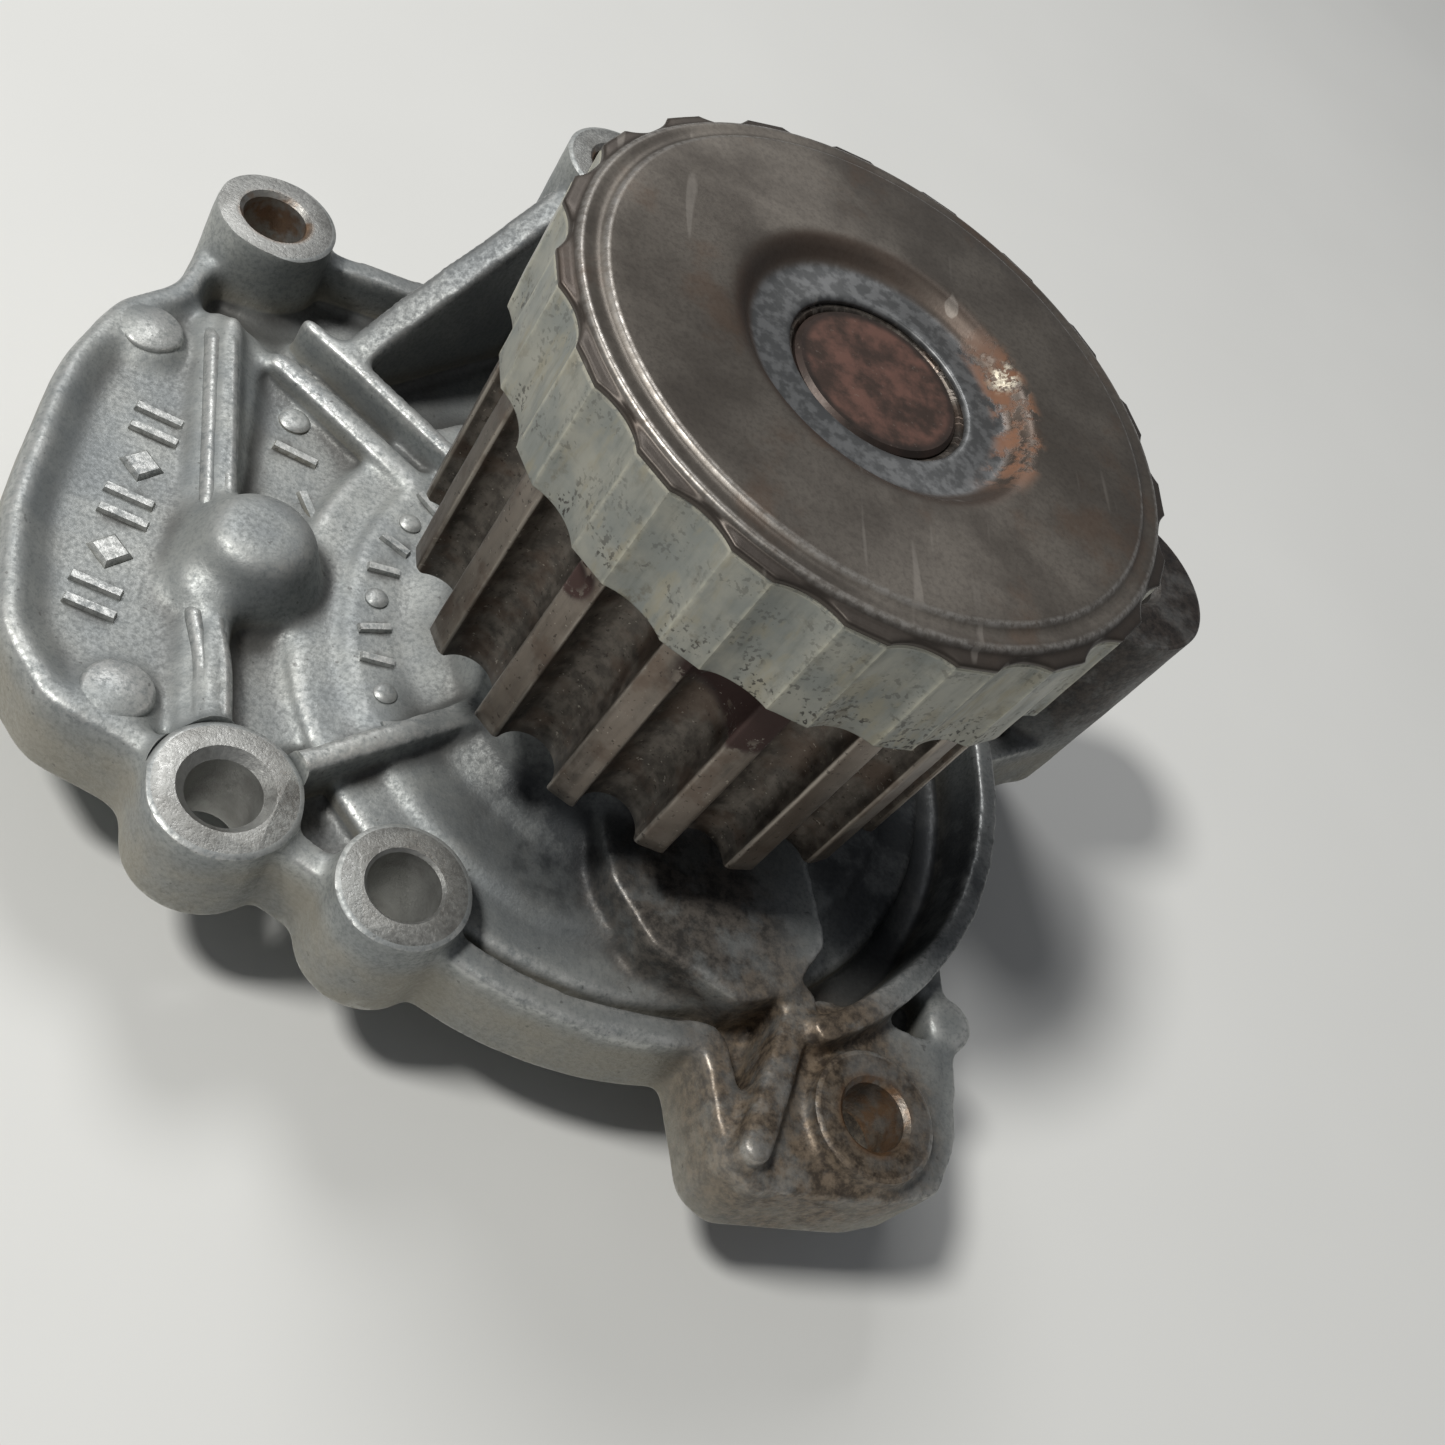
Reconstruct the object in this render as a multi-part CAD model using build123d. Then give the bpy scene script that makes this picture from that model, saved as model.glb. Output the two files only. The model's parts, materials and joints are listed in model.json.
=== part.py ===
"""Belt-driven engine water pump: die-cast body, toothed belt pulley, sealed
double-row shaft bearing, face seal and open-vane impeller.

Frame: millimetres.  Z is the shaft axis, +Z points to the belt side.  Z = 0 is
the machined face that bolts to the engine block, so the origin is where the
shaft axis meets that face.
"""
import os
from math import atan2, cos, degrees, hypot, pi, radians, sin

from build123d import *

# ---- driving dimensions -------------------------------------------------------

# belt drive
TEETH = 19
BELT_PITCH = 9.525
PITCH_LINE_OFFSET = 0.7
GROOVE_R = 3.1
GROOVE_CENTRE_INSET = 0.5
FIRST_LAND_ANGLE = 187.6
PULLEY_BOTTOM = 20.0
PULLEY_FRONT = 55.5
PULLEY_WEB = 5.0
PULLEY_CAVITY_R = 21.5

# scalloped sleeve around the front of the pulley
SLEEVE_R = 29.85
SLEEVE_VALLEY = 1.1
SLEEVE_LAND_HALF_ANGLE = 3.6
SLEEVE_BOTTOM = 44.6
SLEEVE_TOP = 56.3

# pressed front cap
CAP_FACE = 58.0
CAP_SHEET = 0.7
CAP_STEP = 1.0
CAP_FACE_R = 26.8
CAP_RECESS_R = 14.2
CAP_RECESS_FLOOR_R = 12.6
CAP_HOLE_R = 8.7
CAP_RECESS_DEPTH = 1.8
CAP_LIP = 0.12

# shaft and bearing
SHAFT_R = 8.0
SHAFT_TOP = 55.8
SHAFT_BOTTOM = -11.0
BEARING_R = 15.0
BEARING_BOTTOM = 17.0
BEARING_TOP = 49.0
BEARING_LAND_R = 12.6
BALL_R = 3.0
BALL_CIRCLE_R = 10.6
BALL_COUNT = 9
RACE_CLEARANCE = 0.05
REAR_ROW = 24.5
FRONT_ROW = 41.5
BEARING_SEAL_T = 1.6

# die-cast body
BASE_T = 5.5
RIM_TOP = 9.5
RIM_W = 3.0
BOWL_R = 41.0
WALL_R = 43.2
WALL_INNER_R = 40.5
WALL_TOP = 13.5
HUB_R = 19.0
HUB_TOP = 48.0
HUB_FOOT = 15.0
RING_R = 31.0
RING_TOP = 8.8
CHAMBER_R = 30.5
CHAMBER_DEPTH = 4.0
PASSAGE_DEPTH = 4.4
DRAIN_R = 1.8
DRAIN_Z = 15.6

# bosses for the fixing screws: x, y, height of the machined top, outer radius,
# hole radius (M6, or M8 in the right one) and width of the hole's chamfer
BOSSES = {
    "upper_left": (-46.7, 42.2, 14.0, 6.6, 3.4, 0.5),
    "lower_left": (-38.4, -26.7, 10.2, 6.8, 3.4, 0.9),
    "lower": (-22.3, -32.7, 12.0, 6.2, 3.4, 0.3),
    "lower_right": (25.0, -44.2, 12.0, 6.5, 3.4, 0.5),
    "top": (-14.5, 50.0, 32.0, 6.5, 3.4, 0.5),
    "right": (52.3, 21.0, 30.0, 11.0, 4.25, 0.8),
}
DOWEL_R = 4.5
DOWEL_DEPTH = 5.0
DOWEL_BOSSES = ("upper_left", "lower_right")

# face seal and impeller
SEAL_CUP_BOTTOM = 3.2
SEAL_CUP_TOP = 14.5
SEAL_SHEET = 0.8
SEAL_FACE = 3.6
SEAL_FILM = 0.05
CARBON_TOP = 7.2
IMPELLER_R = 28.0
IMPELLER_SHEET = 1.6
IMPELLER_TOP = 0.4
IMPELLER_TIP = -12.0
HUB_BOSS_R = 15.0
HUB_BOSS_TOP = 2.2
VANES = 7
VANE_INNER_R = 15.3

# perimeter seal in the mating face
GASKET_CIRCLE_R = 33.0
GASKET_GROOVE_W = 2.9
GASKET_W = 2.6
GASKET_GROOVE_DEPTH = 2.2
GASKET_HEIGHT = 2.9

# derived
PITCH_R = TEETH * BELT_PITCH / (2 * pi)
TIP_R = PITCH_R - PITCH_LINE_OFFSET
TOOTH_STEP = 360 / TEETH
GROOVE_PHASE = FIRST_LAND_ANGLE + TOOTH_STEP / 2


# ---- small helpers ------------------------------------------------------------

def tube(outer, inner, low, high):
    ring = Circle(outer) - Circle(inner)
    return Pos(0, 0, low) * extrude(ring, high - low)


def disc(radius, low, high, x=0.0, y=0.0):
    return Pos(x, y, low) * extrude(Circle(radius), high - low)


def spun(points):
    """Solid of revolution about Z from a closed (radius, height) outline."""
    section = make_face(Polyline(*[(r, 0, z) for r, z in points], close=True))
    return revolve(section, Axis.Z)


def slab(points, low, high, corner=0.0):
    """Upright prism from a plan outline with optionally rounded corners."""
    if corner:
        edge = FilletPolyline(*points, radius=corner, close=True)
    else:
        edge = Polyline(*points, close=True)
    return Pos(0, 0, low) * extrude(make_face(edge), high - low)


def bar(start, end, width, low, high):
    """Straight upright wall with round ends between two plan points."""
    dx, dy = end[0] - start[0], end[1] - start[1]
    plan = SlotCenterToCenter(hypot(dx, dy), width)
    centre = Pos((start[0] + end[0]) / 2, (start[1] + end[1]) / 2, low)
    return centre * Rot(0, 0, degrees(atan2(dy, dx))) * extrude(plan, high - low)


def around(count, radius, phase=0.0):
    return [Rot(0, 0, phase + i * 360 / count) * Pos(radius, 0, 0) for i in range(count)]


# ---- belt pulley, sleeve and cap ----------------------------------------------

def toothed_pulley():
    blank = Circle(TIP_R)
    groove_r = TIP_R - GROOVE_CENTRE_INSET
    grooves = [spot * Circle(GROOVE_R) for spot in around(TEETH, groove_r, GROOVE_PHASE)]
    body = Pos(0, 0, PULLEY_BOTTOM) * extrude(blank - grooves, PULLEY_FRONT - PULLEY_BOTTOM)
    body -= disc(PULLEY_CAVITY_R, PULLEY_BOTTOM, PULLEY_FRONT - PULLEY_WEB)
    body -= disc(SHAFT_R, PULLEY_BOTTOM, PULLEY_FRONT)
    return body


def scalloped_face(radius):
    """Plan outline of the sleeve and of the cap edge that follows it."""
    half_angle = radians(TOOTH_STEP / 2 - SLEEVE_LAND_HALF_ANGLE)
    half_chord = radius * sin(half_angle)
    sagitta = SLEEVE_VALLEY - radius * (1 - cos(half_angle))
    scoop_r = (half_chord ** 2 + sagitta ** 2) / (2 * sagitta)
    scoop_centre = radius - SLEEVE_VALLEY + scoop_r
    scoops = [spot * Circle(scoop_r) for spot in around(TEETH, scoop_centre, GROOVE_PHASE)]
    return Circle(radius) - scoops


def pulley_sleeve():
    plan = scalloped_face(SLEEVE_R) - Circle(TIP_R)
    return Pos(0, 0, SLEEVE_BOTTOM) * extrude(plan, SLEEVE_TOP - SLEEVE_BOTTOM)


def front_cap():
    t = CAP_SHEET
    floor_top = CAP_FACE - CAP_RECESS_DEPTH
    brim = CAP_FACE - CAP_STEP
    brim_inner = CAP_FACE_R + 1.2
    shell = spun([
        (CAP_HOLE_R, floor_top - t), (CAP_RECESS_FLOOR_R + 0.5, floor_top - t),
        (CAP_RECESS_R + 0.5, CAP_FACE - t), (CAP_FACE_R - 0.9, CAP_FACE - t),
        (CAP_FACE_R - 0.2, brim - t), (brim_inner + 0.4, brim - t),
        (brim_inner + 0.4, brim), (brim_inner, brim),
        (CAP_FACE_R + 0.3, CAP_FACE - 0.75), (CAP_FACE_R, CAP_FACE - 0.35),
        (CAP_FACE_R - 0.7, CAP_FACE), (CAP_RECESS_R, CAP_FACE),
        (CAP_RECESS_R - 0.5, CAP_FACE - 0.3), (CAP_RECESS_FLOOR_R, floor_top),
        (CAP_HOLE_R, floor_top),
    ])
    edge = scalloped_face(SLEEVE_R + CAP_LIP) - Circle(brim_inner - 0.3)
    return shell + Pos(0, 0, brim - t) * extrude(edge, t)


# ---- shaft and bearing --------------------------------------------------------

def shaft():
    body = disc(SHAFT_R, SHAFT_BOTTOM, SHAFT_TOP)
    body = chamfer(body.edges().filter_by(GeomType.CIRCLE), 0.4)
    for row in (REAR_ROW, FRONT_ROW):
        body -= Pos(0, 0, row) * Torus(BALL_CIRCLE_R, BALL_R + RACE_CLEARANCE)
    return body


def bearing_outer_ring():
    ring = tube(BEARING_R, BEARING_LAND_R, BEARING_BOTTOM, BEARING_TOP)
    ring = chamfer(ring.edges().filter_by(GeomType.CIRCLE).group_by(SortBy.RADIUS)[-1], 0.5)
    for row in (REAR_ROW, FRONT_ROW):
        ring -= Pos(0, 0, row) * Torus(BALL_CIRCLE_R, BALL_R + RACE_CLEARANCE)
    return ring


def bearing_balls(row):
    return [Pos(0, 0, row) * spot * Sphere(BALL_R) for spot in around(BALL_COUNT, BALL_CIRCLE_R)]


def bearing_cage(row, back):
    """Crown cage: open pockets on one side, a closed ring on the other (back = +1 or -1)."""
    wall_in, wall_out = SHAFT_R + 1.4, BEARING_LAND_R - 0.9
    ends = sorted((row - 1.8 * back, row + 4.3 * back))
    ring = tube(wall_out, wall_in, *ends)
    for spot in around(BALL_COUNT, BALL_CIRCLE_R):
        ring -= Pos(0, 0, row) * spot * Sphere(BALL_R + 0.15)
    return ring


def bearing_seal(low):
    """Lip seal carried in the bearing ring, just clear of the shaft."""
    high = low + BEARING_SEAL_T
    bore = SHAFT_R + 0.06
    return spun([
        (bore, low + 0.5), (bore + 1.6, low), (BEARING_LAND_R, low),
        (BEARING_LAND_R, high), (bore + 1.6, high), (bore, high - 0.5),
    ])


# ---- face seal and impeller ---------------------------------------------------

def seal_cup():
    t = SEAL_SHEET
    low, high = SEAL_CUP_BOTTOM, SEAL_CUP_TOP
    return spun([
        (BEARING_R - t, low), (BEARING_R + 3.2, low), (BEARING_R + 3.2, low + t),
        (BEARING_R, low + t), (BEARING_R, high), (SHAFT_R + 2.2, high),
        (SHAFT_R + 2.2, high - t), (BEARING_R - t, high - t),
    ])


def seal_bellows():
    """Rubber bellows that lets the carbon ring float along the shaft."""
    top = SEAL_CUP_TOP - SEAL_SHEET
    bore = SHAFT_R + 1.2
    return spun([
        (bore, CARBON_TOP), (12.4, CARBON_TOP), (12.4, CARBON_TOP + 1), (bore + 1.1, CARBON_TOP + 1),
        (bore + 1.1, top - 1), (14.0, top - 1), (14.0, top), (bore, top),
    ])


def seal_spring():
    wire = 0.55
    low = CARBON_TOP + 1 + wire
    travel = SEAL_CUP_TOP - SEAL_SHEET - 1 - wire - low
    path = Pos(0, 0, low) * Helix(pitch=travel / 2, height=travel, radius=12.0)
    section = Plane(origin=path @ 0, z_dir=path % 0) * Circle(wire)
    return sweep(section, path=path, is_frenet=True)


def seal_carbon_ring():
    low = SEAL_FACE + SEAL_FILM
    return spun([
        (9.2, low), (11.4, low), (11.4, low + 1.2), (12.4, low + 1.2),
        (12.4, CARBON_TOP), (9.2, CARBON_TOP),
    ])


def seal_mating_ring():
    return chamfer(tube(12.4, 9.0, 0.2, SEAL_FACE).edges().filter_by(GeomType.CIRCLE), 0.3)


def mating_ring_boot():
    """Rubber cup that holds the ceramic ring in the impeller hub."""
    low = HUB_BOSS_TOP - 3.4
    return spun([
        (SHAFT_R, low), (13.6, low), (13.6, HUB_BOSS_TOP - 0.2), (12.4, HUB_BOSS_TOP - 0.2),
        (12.4, 0.2), (SHAFT_R, 0.2),
    ])


def slinger():
    return spun([
        (SHAFT_R, 15.2), (10.0, 15.2), (12.6, 15.5), (12.6, 16.1), (10.0, 16.0), (SHAFT_R, 16.0),
    ])


def impeller_hub():
    low = SHAFT_BOTTOM + 1.5
    return spun([
        (SHAFT_R, low), (11.5, low), (12.5, low + 1), (12.5, IMPELLER_TOP - IMPELLER_SHEET),
        (HUB_BOSS_R, IMPELLER_TOP - IMPELLER_SHEET), (HUB_BOSS_R, HUB_BOSS_TOP),
        (13.6, HUB_BOSS_TOP), (13.6, HUB_BOSS_TOP - 3.4), (SHAFT_R, HUB_BOSS_TOP - 3.4),
    ])


def impeller():
    """Round back plate with curved vanes that reach into the engine's volute."""
    under = IMPELLER_TOP - IMPELLER_SHEET
    plate = tube(IMPELLER_R, HUB_BOSS_R, under, IMPELLER_TOP)
    sweep_r = 19.0
    curve = Pos(0, sweep_r, 0) * (Circle(sweep_r + 0.8) - Circle(sweep_r - 0.8))
    reach = Circle(IMPELLER_R) - Circle(VANE_INNER_R)
    first_quarter = Pos(IMPELLER_R, IMPELLER_R, 0) * Rectangle(2 * IMPELLER_R, 2 * IMPELLER_R)
    blade = curve & reach & first_quarter
    vane = Pos(0, 0, IMPELLER_TIP) * extrude(blade, under - IMPELLER_TIP)
    vane -= spun([(10, IMPELLER_TIP - 1), (20.5, IMPELLER_TIP - 1), (20.5, IMPELLER_TIP), (10, IMPELLER_TIP + 6)])
    for i in range(VANES):
        plate += Rot(0, 0, i * 360 / VANES) * vane
    return plate


# ---- die-cast body ------------------------------------------------------------

def body_outline():
    """Plan of the mating flange: round bowl, pan on the left, ears around it."""
    pan = [(-20, 45.2), (-48, 45.2), (-53.4, 40), (-54.2, 32.5), (-59.5, 27), (-62.4, 17), (-63, -2),
           (-60.2, -16), (-54.5, -23), (-45, -25.5), (-20, -37), (-4, -20), (-4, 30)]
    ear = [(7, -34), (10.2, -50.5), (13.2, -52.6), (28, -51.2), (33.5, -49.5), (36, -44), (37, -34),
           (36, -25), (28, -14)]
    right_side = [(10, -20), (44, -26), (60, 0), (60, 60), (-12, 60), (-4, 30)]
    plan = Circle(BOWL_R)
    plan += Circle(WALL_R) & make_face(Polyline(*right_side, close=True))
    plan += make_face(FilletPolyline(*pan, radius=3.5, close=True))
    plan += make_face(FilletPolyline(*ear, radius=2.5, close=True))
    for x, y, _, r, _, _ in BOSSES.values():
        plan += Pos(x, y) * Circle(r)
    plan += boss_neck("top", -14, 38, 9)
    plan += boss_neck("right", 36, 15, 14)
    return plan


def boss_neck(name, x, y, r):
    """Plan of the web that joins an outlying boss to a wide place on the flange."""
    boss_x, boss_y, _, boss_r = BOSSES[name][:4]
    ends = Pos(boss_x, boss_y) * Circle(boss_r), Pos(x, y) * Circle(r)
    return make_hull([edge for end in ends for edge in end.edges()])


def gasket_loop():
    """Closed line that the perimeter seal follows, as a filled plan."""
    passage = [(-16, 27.5), (-51, 28.5), (-57, 18), (-57.5, -3), (-51.5, -17.5), (-20, -18)]
    return Circle(GASKET_CIRCLE_R) + make_face(FilletPolyline(*passage, radius=5, close=True))


def gasket_ring(width, low, high):
    loop = gasket_loop()
    ring = offset(loop, width / 2) - offset(loop, -width / 2)
    return Pos(0, 0, low) * extrude(ring, high - low)


def pump_housing():
    plan = body_outline()
    body = extrude(plan, BASE_T)
    body += extrude(plan - offset(plan, -RIM_W), RIM_TOP)

    # pan on the left: floor, two round pads, stepped ridge and domed knob
    pan_floor = [(-44, 31), (-56.5, 31), (-60, 18), (-60.5, -2), (-57.5, -15), (-52.5, -21.5), (-41, -21.5)]
    body += slab(pan_floor, 0, 8.0, 2.5)
    body += disc(3.3, 0, 9.2, -55.0, 23.4)
    body += disc(3.3, 0, 9.2, -49.0, -19.6)
    body += bar((-48.6, 29), (-41.4, -21), 4.4, 0, 9.0)
    body += bar((-47.8, 29), (-40.6, -21), 2.4, 0, 10.0)
    body += spun_at(-40.5, -0.5, [(0, 0), (7.2, 0), (6.6, 9.5), (5.2, 13.2), (4.4, 14.0), (0, 14.0)])

    # middle plate and the ribs that run to the hub
    body += slab([(-44, 31), (-41, -21), (-26, -16), (-26, 22)], 0, 6.5)
    body += bar((-40.5, 31.7), (-20.5, 18.3), 2.2, 0, 11.5)
    body += bar((-42, 27.2), (-26, 16.6), 3.0, 0, 9.2)
    body += bar((-32.4, -22.4), (-16, -10.5), 2.6, 0, 11.5)
    body += bar((-46.7, 42.2), (-24, 44), 3.0, 0, 11.0)

    # bowl, hub and the flat ring around the hub foot
    body += spun([
        (0, 0), (36.5, 0), (36.5, 7.8), (RING_R + 0.6, 8.0), (RING_R, RING_TOP),
        (25.5, RING_TOP), (21.5, 10.5), (HUB_R + 0.6, HUB_FOOT), (HUB_R, HUB_FOOT + 3),
        (HUB_R, HUB_TOP - 1), (HUB_R - 1, HUB_TOP), (0, HUB_TOP),
    ])

    # raised wall on the right, drain pad under the pulley, ear ridge and gusset
    body += right_wall()
    body += slab([(-6, -16), (-3.5, -27), (1, -33), (10.5, -36.5), (15.5, -34.5), (20, -28), (17, -14)],
                 0, 13.0, 1.2)
    body += bar((12.4, -49.5), (17.5, -34), 3.2, 0, 12.2)
    body += disc(2.8, 0, 10.4, 36.0, -31.5)
    body += gusset()

    for x, y, top, r, _, _ in BOSSES.values():
        body += boss(x, y, top, r)
    body += slab([(13.5, -50), (32, -48.5), (35, -34), (20, -32)], 0, 10.2, 2.0)

    return cut_openings(body)


def spun_at(x, y, points):
    return Pos(x, y, 0) * spun(points)


def right_wall():
    wall = tube(WALL_R, WALL_INNER_R, 0, WALL_TOP)
    keep = slab([(0, 0), (24, -50), (70, -50), (70, 70), (-10, 70)], 0, WALL_TOP)
    return wall & keep


def gusset():
    """Sloping web that climbs from the plate to the tall top boss."""
    foot = Vector(-35.3, 29.8, 0)
    end = Vector(-14.5, 50, 0)
    run = (end - foot).length
    profile = make_face(Polyline((0, 0), (run, 0), (run, 31.0), (run * 0.72, 28.5), (0, 11.5), close=True))
    upright = Plane(origin=foot, x_dir=end - foot, z_dir=(end - foot).cross(Vector(0, 0, 1)))
    return extrude(upright * profile, 1.9, both=True)


def boss(x, y, top, r):
    """Round boss with a little draft and a broken top edge."""
    return spun_at(x, y, [(0, 0), (r + 0.25, 0), (r, top - 0.5), (r - 0.5, top), (0, top)])


def screw_hole(x, y, top, r, bevel):
    return spun_at(x, y, [(0, -1), (r, -1), (r, top - bevel), (r + bevel, top), (r + bevel, top + 1), (0, top + 1)])


def cut_openings(body):
    for x, y, top, _, hole_r, bevel in BOSSES.values():
        body -= screw_hole(x, y, top, hole_r, bevel)
    for name in DOWEL_BOSSES:
        x, y = BOSSES[name][:2]
        body -= disc(DOWEL_R, 0, DOWEL_DEPTH, x, y)
    body -= disc(BEARING_R, -1, HUB_TOP + 1)
    body -= disc(CHAMBER_R, -1, CHAMBER_DEPTH)
    passage = [(-30, 23), (-49, 24), (-53, 16), (-53.5, -3), (-49.5, -13), (-25, -13.5)]
    body -= slab(passage, -1, PASSAGE_DEPTH, 3.0)
    body -= gasket_ring(GASKET_GROOVE_W, -1, GASKET_GROOVE_DEPTH)
    drain = Cylinder(DRAIN_R, 12, align=(Align.CENTER, Align.CENTER, Align.MIN))
    body -= Rot(0, 0, -75) * Pos(BEARING_R - 2, 0, DRAIN_Z) * Rot(0, 90, 0) * drain
    return body


def perimeter_seal():
    top = GASKET_GROOVE_DEPTH
    return gasket_ring(GASKET_W, top - GASKET_HEIGHT, top)


# ---- write one file per piece --------------------------------------------------

def main():
    rear_seal_low = BEARING_BOTTOM + 0.4
    front_seal_low = BEARING_TOP - 0.4 - BEARING_SEAL_T
    pieces = {
        "pump_housing": pump_housing(),
        "toothed_pulley": toothed_pulley(),
        "pulley_sleeve": pulley_sleeve(),
        "front_cap": front_cap(),
        "shaft": shaft(),
        "bearing_outer_ring": bearing_outer_ring(),
        "rear_bearing_balls": bearing_balls(REAR_ROW),
        "front_bearing_balls": bearing_balls(FRONT_ROW),
        "rear_bearing_cage": bearing_cage(REAR_ROW, 1),
        "front_bearing_cage": bearing_cage(FRONT_ROW, -1),
        "rear_bearing_seal": bearing_seal(rear_seal_low),
        "front_bearing_seal": bearing_seal(front_seal_low),
        "slinger": slinger(),
        "seal_cup": seal_cup(),
        "seal_bellows": seal_bellows(),
        "seal_spring": seal_spring(),
        "seal_carbon_ring": seal_carbon_ring(),
        "seal_mating_ring": seal_mating_ring(),
        "mating_ring_boot": mating_ring_boot(),
        "impeller_hub": impeller_hub(),
        "impeller": impeller(),
        "perimeter_seal": perimeter_seal(),
    }
    os.makedirs("parts", exist_ok=True)
    for name, piece in pieces.items():
        solids = piece if isinstance(piece, list) else piece.solids()
        shape = solids[0] if len(solids) == 1 else Compound(children=[s.solid() for s in solids])
        export_step(shape, f"parts/{name}.step")


main()
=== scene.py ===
"""Looks of the belt-driven water pump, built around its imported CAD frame.

The scene is in metres in the frame of the CAD model: Z is the shaft axis and
Z = 0 is the face that bolts to the engine. Lengths below are in millimetres
unless they are multiplied by MM.
"""

import json
from collections import namedtuple
from math import acos, atan2, cos, degrees, pi, radians, sin, sqrt

import bmesh
import bpy
import numpy as np
from mathutils import Matrix, Vector, noise


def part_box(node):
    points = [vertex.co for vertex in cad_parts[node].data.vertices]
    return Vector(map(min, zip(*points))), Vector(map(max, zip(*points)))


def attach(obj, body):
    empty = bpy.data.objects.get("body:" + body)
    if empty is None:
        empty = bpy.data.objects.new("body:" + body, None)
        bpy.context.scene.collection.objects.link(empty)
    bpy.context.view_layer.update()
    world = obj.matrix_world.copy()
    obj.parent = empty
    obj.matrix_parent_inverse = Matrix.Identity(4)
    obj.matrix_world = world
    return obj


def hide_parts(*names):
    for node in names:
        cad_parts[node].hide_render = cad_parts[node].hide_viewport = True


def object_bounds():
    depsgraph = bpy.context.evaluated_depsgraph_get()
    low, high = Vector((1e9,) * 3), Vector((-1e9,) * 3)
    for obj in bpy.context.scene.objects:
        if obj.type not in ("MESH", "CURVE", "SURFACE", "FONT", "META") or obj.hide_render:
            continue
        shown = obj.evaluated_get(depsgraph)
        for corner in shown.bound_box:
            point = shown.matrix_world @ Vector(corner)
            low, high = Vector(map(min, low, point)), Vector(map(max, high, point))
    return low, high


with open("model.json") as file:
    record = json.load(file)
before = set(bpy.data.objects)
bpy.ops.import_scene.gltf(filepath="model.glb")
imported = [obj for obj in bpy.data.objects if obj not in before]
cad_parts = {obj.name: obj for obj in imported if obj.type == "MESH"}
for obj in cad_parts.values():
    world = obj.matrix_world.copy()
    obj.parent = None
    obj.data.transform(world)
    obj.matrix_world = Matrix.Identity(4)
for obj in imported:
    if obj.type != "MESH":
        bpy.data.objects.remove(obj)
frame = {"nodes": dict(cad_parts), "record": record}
cad_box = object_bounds()

MM = 0.001
scene = bpy.context.scene
mounts = {m["name"]: m for m in frame["record"]["mounts"]}

# ---- dimensions of the pieces that are built here, in millimetres ---------------

TEETH = 19
TOOTH_STEP = 2 * pi / TEETH
LAND_ANGLE = radians(187.6)
GROOVE_PHASE = LAND_ANGLE + TOOTH_STEP / 2
GROOVE_R = 3.1
GROOVE_INSET = 0.5
TOOTH_FILLET = 0.38
PULLEY_BEVEL = 0.35
PULLEY_WEB = 5.0
PULLEY_CAVITY_R = 21.5
SHAFT_R = 8.0

SLEEVE_VALLEY = 0.95
SLEEVE_LAND_HALF_ANGLE = radians(3.6)
CAP_SHEET = 0.7
CAP_STEP = 1.0
CAP_DISH_DEPTH = 1.8
CAP_HOLE_R = 8.7

BEARING_R = 15.0
HUB_R = 19.0
FLANGE_FLOOR = 5.0
PASSAGE_ROOF = 4.4
CHAMBER_ROOF = 4.0
SEAL_GROOVE_DEPTH = 2.2
VOXEL = 0.5

PAN_FLOOR = 8.0
PLATE_TOP = 6.5
RING_TOP = 8.8
MARK_RING_R = 28.2
MARK_HEIGHT = 0.5
PAD_R = 3.4
DOME = (-40.5, -0.5)
RIB_FOOT = (-40.5, 31.7)

# radius and top of each screw boss, and the bevel of its hole
BOSSES = {
    "upper_left": (6.6, 14.0, 0.5),
    "lower_left": (6.8, 10.2, 0.9),
    "lower": (6.2, 12.0, 0.3),
    "lower_right": (6.5, 12.0, 0.5),
    "top": (6.5, 32.0, 0.5),
    "right": (11.0, 30.0, 0.8),
}


# ---- mesh helpers -----------------------------------------------------------------

def show(name, mesh, materials=()):
    """Object in the scene for a mesh."""
    obj = bpy.data.objects.new(name, mesh)
    scene.collection.objects.link(obj)
    for material in materials:
        mesh.materials.append(material)
    return obj


def from_points(name, points, faces, materials=()):
    """Object from points in millimetres, with its faces turned outwards."""
    mesh = bpy.data.meshes.new(name)
    mesh.from_pydata((np.asarray(points, float) * MM).tolist(), [], faces)
    bm = bmesh.new()
    bm.from_mesh(mesh)
    bmesh.ops.recalc_face_normals(bm, faces=bm.faces)
    bm.to_mesh(mesh)
    bm.free()
    return show(name, mesh, materials)


def loft(name, rings, materials=(), closed=True):
    """Skin through rings of equal counts; the last ring joins the first, or both ends are capped."""
    rings = np.asarray(rings, float)
    count, around = rings.shape[:2]
    faces = []
    for i in range(count if closed else count - 1):
        a, b = i * around, (i + 1) % count * around
        for j in range(around):
            k = (j + 1) % around
            faces.append((a + j, a + k, b + k, b + j))
    if not closed:
        faces.append(tuple(range(around)))
        faces.append(tuple(range((count - 1) * around, count * around)))
    return from_points(name, rings.reshape(-1, 3), faces, materials)


def circle_ring(radius, z, around, x=0.0, y=0.0):
    """Points of a level circle."""
    a = np.linspace(0, 2 * pi, around, endpoint=False)
    return np.stack([x + radius * np.cos(a), y + radius * np.sin(a), np.full(around, z)], 1)


def lathe(name, profile, around=96, x=0.0, y=0.0):
    """Turned solid from (radius, height) pairs, capped at both ends."""
    return loft(name, [circle_ring(r, z, around, x, y) for r, z in profile], closed=False)


def outline_ring(radii, angles, z):
    """Points of a level outline given by its radius at each angle."""
    heights = np.broadcast_to(z, angles.shape)
    return np.stack([radii * np.cos(angles), radii * np.sin(angles), heights], 1)


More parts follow.
